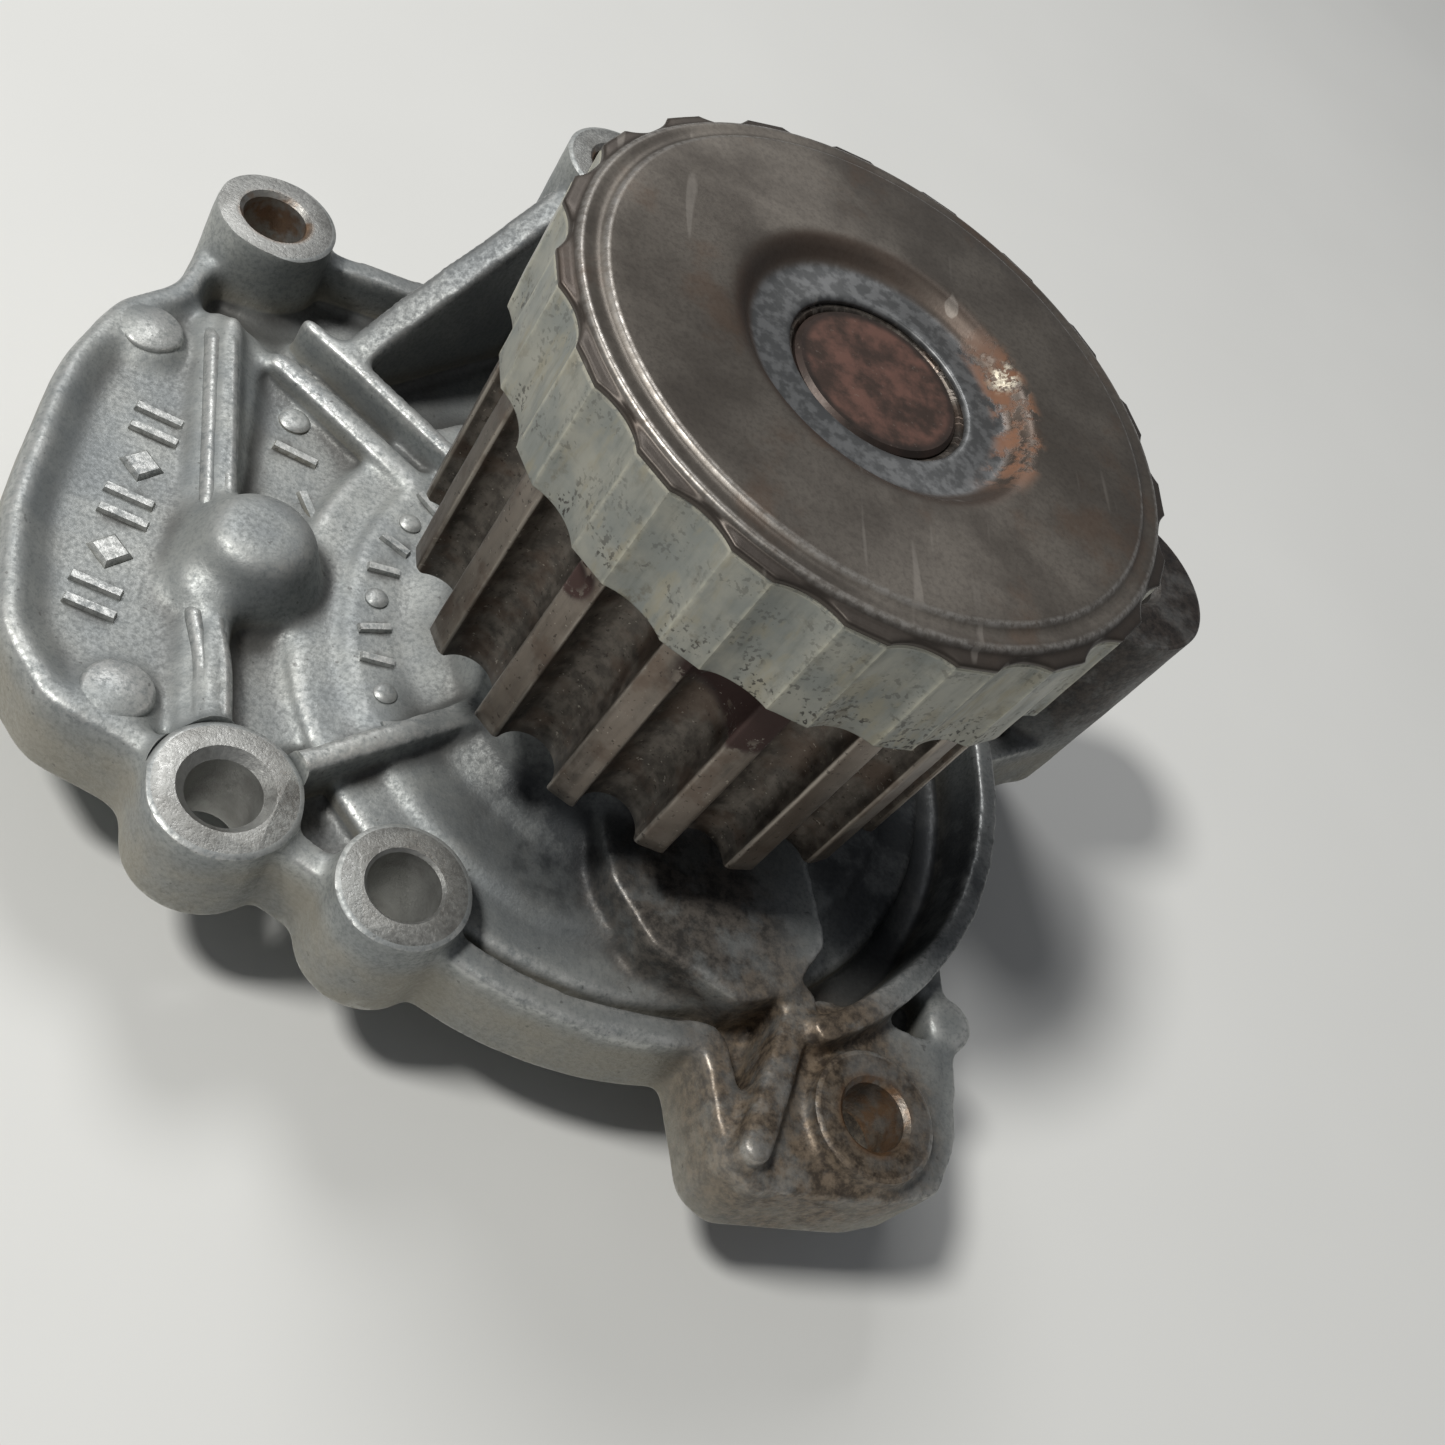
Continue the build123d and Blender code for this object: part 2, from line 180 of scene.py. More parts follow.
def join(name, parts):
    """One object from several, which are removed."""
    bm = bmesh.new()
    for part in parts:
        bm.from_mesh(part.data)
        bpy.data.objects.remove(part)
    mesh = bpy.data.meshes.new(name)
    bm.to_mesh(mesh)
    bm.free()
    return show(name, mesh)


def applied(obj):
    """Bakes the modifiers of an object into its mesh."""
    graph = bpy.context.evaluated_depsgraph_get()
    mesh = bpy.data.meshes.new_from_object(obj.evaluated_get(graph))
    obj.modifiers.clear()
    obj.data = mesh
    return obj


def combine(obj, tool, operation):
    """Boolean with a tool object, which is removed."""
    step = obj.modifiers.new("step", "BOOLEAN")
    step.operation, step.object, step.solver = operation, tool, "MANIFOLD"
    applied(obj)
    bpy.data.objects.remove(tool)
    return obj


def coordinates(mesh):
    """Points of a mesh in metres, one row each."""
    co = np.empty(len(mesh.vertices) * 3)
    mesh.vertices.foreach_get("co", co)
    return co.reshape(-1, 3)


def node_reach(node):
    """Largest distance of a CAD node from the shaft axis, in millimetres."""
    co = np.array([v.co[:2] for v in frame["nodes"][node].data.vertices])
    return np.hypot(*co.T).max() / MM


def point_normals(mesh):
    """Normals of a mesh's points, one row each."""
    normals = np.empty(len(mesh.vertices) * 3)
    mesh.vertices.foreach_get("normal", normals)
    return normals.reshape(-1, 3)


def edge_pairs(mesh):
    """The two point numbers of every edge."""
    pairs = np.empty(len(mesh.edges) * 2, int)
    mesh.edges.foreach_get("vertices", pairs)
    return pairs.reshape(-1, 2)


def relax(co, pairs, share, rounds):
    """Moves points towards the middle of their neighbours; share is the step per point."""
    count = len(co)
    ends = np.concatenate([pairs[:, 0], pairs[:, 1]])
    others = np.concatenate([pairs[:, 1], pairs[:, 0]])
    valence = np.maximum(np.bincount(ends, minlength=count), 1)
    for _ in range(rounds):
        middle = np.stack([np.bincount(ends, co[others, k], count) / valence for k in range(3)], 1)
        co = co + (middle - co) * share[:, None]
    return co


def write_back(mesh, co):
    """Gives a mesh new coordinates."""
    mesh.vertices.foreach_set("co", co.astype(np.float32).ravel())
    mesh.update()


def soften(obj, angle=35):
    """Smooth shading with edges sharper than angle kept crisp."""
    obj.data.polygons.foreach_set("use_smooth", [True] * len(obj.data.polygons))
    obj.data.set_sharp_from_angle(angle=radians(angle))
    return obj


def falloff(distance, inner, outer):
    """1 up to the inner distance, falling to 0 at the outer one."""
    return np.clip((outer - distance) / (outer - inner), 0, 1)


def store(mesh, name, value):
    """Keeps one number per point for the materials."""
    mesh.attributes.new(name, "FLOAT", "POINT").data.foreach_set("value", value.astype(np.float32))


def mark_relief(obj):
    """Stores how convex (edge) and how concave (cavity) the surface is, for painted highlights on edges and
    painted shade in hollows.
    """
    mesh = obj.data
    co, pairs, normals = coordinates(mesh), edge_pairs(mesh), point_normals(mesh)
    for name, rounds, reach in (("edge", 6, -0.12), ("cavity", 60, 0.9)):
        moved = relax(co, pairs, np.full(len(co), 0.6), rounds)
        height = ((moved - co) * normals).sum(1) / MM
        value = np.clip(height / reach, 0, 1)
        value = relax(np.repeat(value[:, None], 3, 1), pairs, np.full(len(co), 0.5), 2)[:, 0]
        store(mesh, name, value)


# ---- node helpers -----------------------------------------------------------------

def srgb(r, g, b):
    """Linear colour from 0-255 display values."""
    part = [c / 255 for c in (r, g, b)]
    return tuple(c / 12.92 if c <= 0.04045 else ((c + 0.055) / 1.055) ** 2.4 for c in part) + (1.0,)


class Paint:
    """A material being wired up."""

    def __init__(self, name):
        self.material = bpy.data.materials.new(name)
        self.material.use_nodes = True
        self.tree = self.material.node_tree
        self.shader = self.tree.nodes["Principled BSDF"]
        self.where = self.tree.nodes.new("ShaderNodeTexCoord").outputs["Object"]

    def node(self, kind, **settings):
        """New shader node with its settings."""
        made = self.tree.nodes.new(kind)
        for key, value in settings.items():
            setattr(made, key, value)
        return made

    def feed(self, socket, value):
        """Links a socket, or gives it a plain value."""
        if isinstance(value, bpy.types.NodeSocket):
            self.tree.links.new(value, socket)
        else:
            socket.default_value = value

    def maths(self, operation, a, b=0.0, c=0.0):
        made = self.node("ShaderNodeMath", operation=operation)
        for socket, value in zip(made.inputs, (a, b, c)):
            self.feed(socket, value)
        return made.outputs[0]

    def times(self, *values):
        """Product of all values."""
        out = values[0]
        for value in values[1:]:
            out = self.maths("MULTIPLY", out, value)
        return out

    def stretch(self, value, low, high, to_low=0.0, to_high=1.0):
        """Smooth step from to_low at low to to_high at high."""
        made = self.node("ShaderNodeMapRange")
        made.interpolation_type = "SMOOTHSTEP"
        for socket, given in zip(made.inputs, (value, low, high, to_low, to_high)):
            self.feed(socket, given)
        return made.outputs[0]

    def grain(self, size, detail=4.0, rough=0.55, squeeze=(1, 1, 1), seed=0.0):
        """Noise from 0 to 1 with features of about size millimetres."""
        spread = self.node("ShaderNodeMapping")
        self.feed(spread.inputs["Vector"], self.where)
        spread.inputs["Scale"].default_value = squeeze
        spread.inputs["Location"].default_value = (seed, seed * 0.7, -seed)
        made = self.node("ShaderNodeTexNoise")
        self.feed(made.inputs["Vector"], spread.outputs[0])
        made.inputs["Scale"].default_value = 1 / (size * MM)
        made.inputs["Detail"].default_value = detail
        made.inputs["Roughness"].default_value = rough
        return made.outputs["Fac"]

    def specks(self, size, amount, seed=0.0):
        """Small separate dots, more of them as amount rises towards 1."""
        return self.stretch(self.grain(size, 2.0, 0.5, seed=seed), 0.72 - 0.2 * amount, 0.78 - 0.2 * amount)

    def blend(self, share, a, b):
        """Colour between a and b."""
        made = self.node("ShaderNodeMix", data_type="RGBA")
        self.feed(made.inputs["Factor"], share)
        self.feed(made.inputs["A"], a)
        self.feed(made.inputs["B"], b)
        return made.outputs["Result"]

    def mixed(self, share, a, b):
        """Number between a and b."""
        made = self.node("ShaderNodeMix", data_type="FLOAT")
        for socket, value in zip(made.inputs[:1] + made.inputs[2:4], (share, a, b)):
            self.feed(socket, value)
        return made.outputs[0]

    def stored(self, name):
        """A number kept with store()."""
        return self.node("ShaderNodeAttribute", attribute_name=name).outputs["Fac"]

    def axis(self, which):
        """One coordinate, in metres."""
        made = self.node("ShaderNodeSeparateXYZ")
        self.feed(made.inputs[0], self.where)
        return made.outputs[which]

    def near(self, point, inner, outer, flat=False):
        """1 within inner millimetres of a point, falling to 0 at outer; flat ignores height."""
        shift = self.node("ShaderNodeVectorMath", operation="SUBTRACT")
        self.feed(shift.inputs[0], self.where)
        shift.inputs[1].default_value = Vector(point) * MM
        scale = self.node("ShaderNodeVectorMath", operation="MULTIPLY")
        self.feed(scale.inputs[0], shift.outputs[0])
        scale.inputs[1].default_value = (1, 1, 0 if flat else 1)
        length = self.node("ShaderNodeVectorMath", operation="LENGTH")
        self.feed(length.inputs[0], scale.outputs[0])
        return self.stretch(length.outputs["Value"], outer * MM, inner * MM)

    def radius(self):
        """Distance from the shaft axis in millimetres."""
        squares = [self.maths("POWER", self.axis(which), 2.0) for which in "XY"]
        return self.maths("DIVIDE", self.maths("SQRT", self.maths("ADD", *squares)), MM)

    def slope(self):
        """How far the surface faces up, 0 for a wall and 1 for a level face."""
        normal = self.node("ShaderNodeNewGeometry").outputs["Normal"]
        made = self.node("ShaderNodeSeparateXYZ")
        self.feed(made.inputs[0], normal)
        return self.maths("ABSOLUTE", made.outputs["Z"])

    def band(self, value, low, high, edge):
        """1 where value is between low and high."""
        rise = self.stretch(value, low - edge, low + edge)
        fall = self.stretch(value, high - edge, high + edge, 1.0, 0.0)
        return self.maths("MULTIPLY", rise, fall)

    def bumps(self, *layers):
        """Chains (height, strength, distance in millimetres) bumps into the normal."""
        normal = None
        for height, strength, distance in layers:
            made = self.node("ShaderNodeBump")
            made.inputs["Strength"].default_value = strength
            made.inputs["Distance"].default_value = distance * MM
            self.feed(made.inputs["Height"], height)
            if normal is not None:
                self.feed(made.inputs["Normal"], normal)
            normal = made.outputs[0]
        self.feed(self.shader.inputs["Normal"], normal)

    def finish(self, color, rough, metal):
        """Wires up the shader and hands over the material."""
        self.feed(self.shader.inputs["Base Color"], color)
        self.feed(self.shader.inputs["Roughness"], rough)
        self.feed(self.shader.inputs["Metallic"], metal)
        return self.material


# ---- materials --------------------------------------------------------------------

def boss_spot(name, height):
    """Point on the axis of a screw boss."""
    x, y, _ = mounts[f"{name}_screw_hole"]["pos_m"]
    return (x / MM, y / MM, height)


def cast_dirt_and_shade(p, color):
    """Oil, sooty and rust stains where the old casting has them, plus painted shade under the pulley mixed
    into the sooty patch, and over the web.
    """
    patch = p.stretch(p.grain(6.0, 5.0, 0.65, seed=3.0), 0.35, 0.6)
    crumbs = p.stretch(p.grain(1.1, 4.0, 0.7, seed=12.0), 0.35, 0.65)
    # painted shade under the front of the pulley and on the bowl's right wall, mixed with sooty dirt
    bowl, wall = p.near((-5.0, -19.0, 7.0), 7.0, 17.0), p.near((31.0, -12.0, 7.0), 8.0, 22.0)
    soot_and_shade = p.maths("MAXIMUM", bowl, wall)
    color = p.blend(p.times(soot_and_shade, p.stretch(patch, 0, 1, 0.6, 0.9)), color, srgb(44, 47, 50))
    pad = p.near((6.0, -28.0, 13.0), 6.0, 14.0)
    sand = p.blend(crumbs, srgb(62, 58, 54), srgb(108, 101, 93))
    color = p.blend(p.times(pad, p.stretch(patch, 0, 1, 0.4, 0.95)), color, sand)
    ear = p.near((20.0, -43.5, 9.0), 9.0, 17.0)
    earth = p.blend(crumbs, srgb(74, 63, 52), srgb(134, 118, 99))
    color = p.blend(p.times(ear, p.stretch(patch, 0, 1, 0.5, 0.95)), color, earth)
    # painted shade: the web is darkened evenly, as if it lay in shadow
    web = p.near((-27.0, 38.0, 20.0), 9.0, 19.0)
    color = p.blend(p.times(web, 0.55), color, srgb(70, 72, 74))
    far = p.near(boss_spot("right", 24.0), 12.0, 26.0)
    tar = p.blend(crumbs, srgb(44, 39, 36), srgb(74, 66, 60))
    return p.blend(p.times(far, p.stretch(patch, 0, 1, 0.7, 0.95)), color, tar)


def hole_rust(p, color):
    """Rust in the screw holes that have it, out to reach millimetres from their axes."""
    rust = p.blend(p.grain(1.2, 4.0, seed=8.0), srgb(98, 72, 52), srgb(158, 120, 82))
    for name, reach in (("upper_left", 4.4), ("lower_right", 4.6), ("lower", 3.4), ("top", 4.2)):
        hole = p.near(boss_spot(name, 0.0), reach - 1.0, reach, flat=True)
        share = p.times(hole, p.stretch(p.grain(2.5, 3.0, seed=5.0), 0.4, 0.6, 0.1, 0.8))
        color = p.blend(share, color, rust)
    return color


def cast_aluminium():
    """Grainy cast skin, dark in its corners and bright on its edges."""
    p = Paint("cast_aluminium")
    cloud = p.grain(9.0, 5.0, 0.6)
    fine = p.grain(0.5, 3.0, 0.7, seed=1.0)
    color = p.blend(p.stretch(cloud, 0.3, 0.7), srgb(136, 140, 140), srgb(164, 166, 162))
    color = p.blend(p.stretch(fine, 0.4, 0.7, 0.0, 0.45), color, srgb(100, 105, 106))
    edge, cavity = p.stored("edge"), p.stored("cavity")
    shade = p.times(p.stretch(cavity, 0.1, 0.8), p.stretch(cloud, 0.25, 0.65, 0.65, 1.0))
    color = p.blend(p.times(shade, 0.85), color, srgb(66, 64, 61))
    skirt = p.stretch(p.axis("Z"), 9.5 * MM, 6.0 * MM)
    wall = p.stretch(p.slope(), 0.55, 0.25)
    color = p.blend(p.times(skirt, wall, p.stretch(cloud, 0.3, 0.6, 0.3, 0.8)), color, srgb(150, 145, 132))
    glint = p.times(p.stretch(edge, 0.25, 0.9), p.stretch(p.grain(0.7, 3.0, 0.7, seed=2.0), 0.35, 0.6))
    color = p.blend(p.times(glint, 0.55), color, srgb(206, 206, 202))
    color = cast_dirt_and_shade(p, color)
    color = hole_rust(p, color)
    color = p.blend(p.times(p.specks(0.8, 0.12, 4.0), 0.5), color, srgb(70, 68, 66))
    rough = p.mixed(glint, p.stretch(fine, 0.3, 0.7, 0.46, 0.62), 0.38)
    rough_wall = p.times(skirt, wall, p.grain(1.6, 4.0, 0.65, seed=11.0))
    skin = p.grain(0.9, 3.0, 0.6, seed=6.0)
    p.bumps((cloud, 0.25, 0.25), (skin, 0.5, 0.07), (fine, 0.6, 0.045), (rough_wall, 0.7, 0.3))
    return p.finish(color, rough, 0.52)


def machined_aluminium():
    """Cut faces: boss tops, bores and the mating face."""
    p = Paint("machined_aluminium")
    pits = p.grain(0.5, 3.0, 0.7, seed=1.5)
    lines = p.grain(0.35, 2.0, 0.5, squeeze=(1, 0.06, 1), seed=4.0)
    color = p.blend(p.stretch(pits, 0.38, 0.62), srgb(72, 77, 78), srgb(112, 116, 114))
    # painted highlight: convex edges turned paler
    color = p.blend(p.times(p.stretch(p.stored("edge"), 0.1, 0.6), 0.6), color, srgb(190, 189, 184))
    color = p.blend(p.stretch(p.grain(6.0, 4.0, seed=7.0), 0.45, 0.7, 0.0, 0.5), color, srgb(88, 85, 80))
    color = cast_dirt_and_shade(p, color)
    color = hole_rust(p, color)
    p.bumps((pits, 0.7, 0.08), (lines, 0.3, 0.02))
    return p.finish(color, p.stretch(pits, 0.3, 0.7, 0.36, 0.54), 0.7)


def pulley_steel():
    """Dark oily grooves, worn lands and old rust under the sleeve."""
    p = Paint("pulley_steel")
    radius = p.radius()
    tip = node_reach("toothed_pulley")
    land = p.stretch(radius, tip - 0.7, tip - 0.1)
    streak = p.grain(1.3, 4.0, 0.6, squeeze=(1, 1, 0.12), seed=2.0)
    spots = p.grain(1.6, 5.0, 0.65, seed=3.0)
    color = p.blend(p.stretch(spots, 0.35, 0.68), srgb(82, 77, 72), srgb(122, 115, 107))
    color = p.blend(p.stretch(streak, 0.45, 0.7, 0.0, 0.5), color, srgb(66, 60, 54))
    worn = p.times(land, p.stretch(streak, 0.3, 0.62, 0.25, 0.9))
    color = p.blend(worn, color, srgb(128, 118, 108))
    # painted highlight along the rounded edges of the lands, which are also worn
    corner = p.band(radius, tip - 0.36, tip - 0.06, 0.05)
    color = p.blend(p.times(corner, p.stretch(streak, 0.35, 0.55, 0.15, 0.75)), color, srgb(168, 160, 150))
    rusty = p.times(p.stretch(p.grain(5.0, 4.0, 0.6, seed=13.0), 0.5, 0.64), 0.5)
    color = p.blend(rusty, color, srgb(92, 74, 62))
    flake = p.stretch(p.grain(2.4, 5.0, 0.68, seed=9.0), 0.4, 0.46)
    blot = p.maths("MAXIMUM", p.near((-5.4, -27.6, 43.6), 3.6, 8.6), p.near((-20.6, -19.2, 41.5), 0.6, 3.2))
    rust = p.times(p.stretch(blot, 0.15, 0.5), p.maths("MAXIMUM", flake, p.stretch(blot, 0.6, 0.9)))
    color = p.blend(p.times(rust, 0.94), color, srgb(58, 34, 30))
    color = p.blend(p.times(p.specks(0.5, 0.35, 2.0), 0.6), color, srgb(44, 38, 34))
    color = p.blend(p.times(p.specks(0.45, 0.2, 21.0), 0.6), color, srgb(176, 168, 156))
    rough = p.mixed(worn, p.stretch(spots, 0.3, 0.7, 0.36, 0.52), 0.32)
    p.bumps((spots, 0.3, 0.1), (streak, 0.4, 0.03), (p.grain(0.3, 3.0, 0.6), 0.35, 0.02))
    return p.finish(color, p.mixed(rust, rough, 0.8), p.mixed(rust, 0.85, 0.1))


def sleeve_zinc():
    """Pale greenish zinc, pitted and stained towards its lower edge."""
    p = Paint("sleeve_zinc")
    height = p.maths("DIVIDE", p.axis("Z"), MM)
    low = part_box("pulley_sleeve")[0].z / MM
    cloud = p.grain(5.0, 5.0, 0.6, seed=1.0)
    drag = p.grain(1.0, 4.0, 0.65, squeeze=(1, 1, 0.18), seed=2.0)
    color = p.blend(p.stretch(cloud, 0.35, 0.65), srgb(138, 141, 136), srgb(160, 159, 149))
    color = p.blend(p.stretch(drag, 0.5, 0.75, 0.0, 0.3), color, srgb(104, 108, 102))
    tint = p.grain(2.2, 4.0, 0.6, squeeze=(1, 1, 0.35), seed=9.0)
    color = p.blend(p.stretch(tint, 0.52, 0.66, 0.0, 0.6), color, srgb(156, 150, 130))
    foot = p.stretch(height, low, low + 6.0, 1.0, 0.35)
    dots = p.times(p.specks(0.45, 0.85, 3.0), p.stretch(p.grain(3.2, 3.0, seed=5.0), 0.46, 0.56), foot)
    color = p.blend(p.times(dots, 0.95), color, srgb(44, 38, 32))
    stain = p.times(p.stretch(p.grain(3.2, 5.0, 0.7, seed=6.0), 0.56, 0.68), foot)
    color = p.blend(p.times(stain, 0.6), color, srgb(98, 88, 68))
    chips = p.stretch(p.grain(0.8, 4.0, 0.6, seed=14.0), 0.35, 0.5)
    rim = p.times(p.stretch(height, low + 11.2, low + 11.6), chips)
    # painted highlight along the creases between lands and scoops, joined with worn chips on the top rim
    crease = p.times(p.stored("edge"), p.stretch(p.grain(1.2, 3.0, seed=15.0), 0.4, 0.6, 0.2, 0.7))
    color = p.blend(p.times(p.maths("MAXIMUM", rim, crease), 0.75), color, srgb(206, 202, 184))
    # painted shade: a thin dark line along the lower edge, where the sleeve sits over the teeth
    color = p.blend(p.stretch(height, low + 0.1, low + 0.4, 0.85, 0.0), color, srgb(46, 40, 34))
    p.bumps((cloud, 0.2, 0.15), (drag, 0.3, 0.025), (dots, -0.4, 0.05))
    return p.finish(color, p.stretch(drag, 0.3, 0.7, 0.4, 0.56), p.mixed(dots, 0.6, 0.2))


def cap_steel():
    """Browned pressed steel with shoulders painted bright, partly wear and partly painted highlight, and a
    blue-grey, rusty dish.
    """
    p = Paint("cap_steel")
    radius = p.radius()
    cloud = p.grain(10.0, 5.0, 0.6, seed=2.0)
    fine = p.grain(0.5, 3.0, 0.7, seed=4.0)
    color = p.blend(p.stretch(cloud, 0.35, 0.65), srgb(94, 88, 81), srgb(113, 107, 99))
    color = p.blend(p.stretch(fine, 0.4, 0.7, 0.0, 0.4), color, srgb(74, 69, 64))
    brown = p.times(p.stretch(p.grain(9.0, 5.0, 0.62, seed=6.0), 0.52, 0.7), 0.4)
    color = p.blend(brown, color, srgb(104, 80, 62))
    color = p.blend(p.stretch(radius, 28.3, 28.7, 0.0, 0.7), color, srgb(62, 55, 50))
    floor = p.stretch(radius, 12.3, 13.2, 1.0, 0.0)
    blue = p.blend(p.stretch(p.grain(1.3, 3.0, seed=1.0), 0.42, 0.6), srgb(92, 93, 93), srgb(120, 121, 121))
    color = p.blend(floor, color, blue)
    slope = p.band(radius, 12.7, 15.0, 0.6)
    color = p.blend(p.times(slope, p.stretch(cloud, 0.3, 0.6, 0.35, 0.7)), color, srgb(70, 54, 44))
    side = p.near((12.5, 0.5, 57.5), 5.0, 11.5)
    flakes = p.stretch(p.grain(2.2, 5.0, 0.65, seed=3.0), 0.42, 0.58)
    orange = p.times(side, p.band(radius, 11.6, 15.4, 0.7), flakes)
    color = p.blend(p.times(orange, 0.8), color, srgb(124, 84, 58))
    crumbs = p.stretch(p.grain(0.9, 4.0, 0.6, seed=5.0), 0.46, 0.52)
    chip = p.times(p.near((12.2, 5.4, 57.8), 0.3, 2.2), crumbs)
    color = p.blend(chip, color, srgb(206, 198, 178))
    # the two shoulders are painted bright: partly wear, partly painted highlight where the rounded shoulders
    # would catch the light
    shoulders = p.maths("MAXIMUM", p.band(radius, 28.0, 28.45, 0.2), p.band(radius, 26.0, 26.4, 0.18))
    worn = p.times(shoulders, p.stretch(p.grain(0.7, 4.0, 0.7, seed=7.0), 0.35, 0.65, 0.2, 1.0))
    color = p.blend(p.times(worn, 0.7), color, srgb(176, 172, 166))
    scratch = p.times(p.stretch(p.grain(2.4, 2.0, 0.5, squeeze=(1, 0.08, 1), seed=8.0), 0.68, 0.72), 0.4)
    color = p.blend(scratch, color, srgb(150, 144, 136))
    rough = p.mixed(worn, p.stretch(cloud, 0.3, 0.7, 0.38, 0.5), 0.3)
    rough = p.mixed(orange, rough, 0.8)
    round_lay = p.node("ShaderNodeTangent", direction_type="RADIAL", axis="Z")
    p.feed(p.shader.inputs["Tangent"], round_lay.outputs[0])
    p.shader.inputs["Anisotropic"].default_value = 0.55
    p.bumps((cloud, 0.15, 0.3), (fine, 0.4, 0.03), (orange, 0.5, 0.12), (chip, -0.8, 0.15))
    return p.finish(color, rough, p.mixed(orange, 0.6, 0.1))


def turned_steel(name, light, dark, rough, rust=0.0):
    """Turned or ground steel with faint rings, and optional rust."""
    p = Paint(name)
    rings = p.grain(0.5, 3.0, 0.6, squeeze=(0.4, 0.4, 6), seed=1.0)
    cloud = p.grain(3.0, 5.0, 0.65, seed=2.0)
    color = p.blend(p.stretch(cloud, 0.35, 0.65), srgb(*dark), srgb(*light))
    patch = p.times(p.stretch(p.grain(3.6, 5.0, 0.65, seed=4.0), 0.62 - 0.3 * rust, 0.72 - 0.2 * rust), rust)
    color = p.blend(patch, color, srgb(102, 60, 44))
    p.bumps((rings, 0.25, 0.015), (cloud, 0.3, 0.05))
    gloss = p.stretch(cloud, 0.3, 0.7, rough, rough + 0.14)
    return p.finish(color, p.mixed(patch, gloss, 0.7), p.mixed(patch, 0.92, 0.2))


def shaft_steel():
    """Reddish brown shaft end with a darker edge."""
    p = Paint("shaft_steel")
    radius = p.radius()
    cloud = p.grain(4.0, 5.0, 0.65, seed=2.0)
    color = p.blend(p.stretch(cloud, 0.38, 0.62), srgb(84, 70, 63), srgb(118, 88, 78))
    color = p.blend(p.stretch(radius, 6.6, 7.4, 0.0, 0.85), color, srgb(58, 52, 48))
    color = p.blend(p.times(p.specks(0.5, 0.2, 1.0), 0.35), color, srgb(140, 128, 118))
    turned = p.grain(0.35, 2.0, 0.5, seed=3.0)
    p.bumps((cloud, 0.35, 0.08), (turned, 0.35, 0.02))
    return p.finish(color, p.stretch(cloud, 0.3, 0.7, 0.4, 0.62), 0.7)


def moulded(name, light, dark, rough, metal=0.0):
    """Rubber, plastic, carbon or ceramic with a faint mottled skin."""
    p = Paint(name)
    skin = p.grain(1.5, 4.0, 0.6, seed=1.0)
    fine = p.grain(0.3, 3.0, 0.6, seed=2.0)
    color = p.blend(p.stretch(skin, 0.35, 0.65), srgb(*dark), srgb(*light))
    p.bumps((skin, 0.25, 0.06), (fine, 0.3, 0.02))
    return p.finish(color, p.stretch(skin, 0.3, 0.7, rough, rough + 0.15), metal)


def impeller_iron():
    """Iron with a crust of rust and pale lime specks."""
    p = Paint("impeller_iron")
    cloud = p.grain(5.0, 5.0, 0.65, seed=1.0)
    crust = p.grain(1.0, 5.0, 0.7, seed=2.0)
    color = p.blend(p.stretch(cloud, 0.35, 0.65), srgb(74, 64, 58), srgb(112, 98, 88))
    scale = p.stretch(crust, 0.5, 0.62)
    color = p.blend(p.times(scale, 0.75), color, srgb(126, 78, 48))
    color = p.blend(p.times(p.specks(0.9, 0.6, 5.0), 0.6), color, srgb(182, 168, 148))
    p.bumps((cloud, 0.3, 0.2), (crust, 0.5, 0.08))
    return p.finish(color, p.mixed(scale, 0.48, 0.8), p.mixed(scale, 0.75, 0.15))


# ---- die-cast housing ---------------------------------------------------------------

def welded_copy(node):
    """The node's CAD mesh with its split corners joined again."""
    bm = bmesh.new()
    bm.from_mesh(frame["nodes"][node].data)
    bmesh.ops.remove_doubles(bm, verts=bm.verts, dist=1e-6)
    return bm


def level_loops(bm, height):
    """Outlines, in millimetres, of the flat faces at one height, longest first."""
    flat = {f for f in bm.faces if all(abs(v.co.z / MM - height) < 2e-3 for v in f.verts)}
    rim = [e for e in bm.edges if sum(f in flat for f in e.link_faces) == 1]
    after = {}
    for e in rim:
        for a, b in (e.verts, reversed(e.verts)):
            after.setdefault(a, []).append(b)
    loops = []
    while after:
        start = next(iter(after))
        loop, here = [start], start
        while after.get(here):
            there = after[here].pop()
            after[there].remove(here)
            if there == start:
                break
            loop.append(there)
            here = there
        after = {v: n for v, n in after.items() if n}
        loops.append(np.array([v.co[:2] for v in loop]) / MM)
    return sorted(loops, key=lambda x: -np.ptp(x, axis=0).sum())


def highest(bm):
    return max(v.co.z for v in bm.verts) / MM


def prism(name, loop, low, high):
    """Straight solid over a plan outline."""
    rings = [np.column_stack([loop, np.full(len(loop), z)]) for z in (low, high)]
    return loft(name, rings, closed=False)


Boss = namedtuple("Boss", "name x y hole outer top bevel")


def boss_plan():
    """The screw bosses, with the places and hole radii of the CAD's mounts."""
    for name, (outer, top, bevel) in BOSSES.items():
        mount = mounts[f"{name}_screw_hole"]
        x, y, _ = (c / MM for c in mount["pos_m"])
        yield Boss(name, x, y, mount["dims"]["r_mm"], outer, top, bevel)


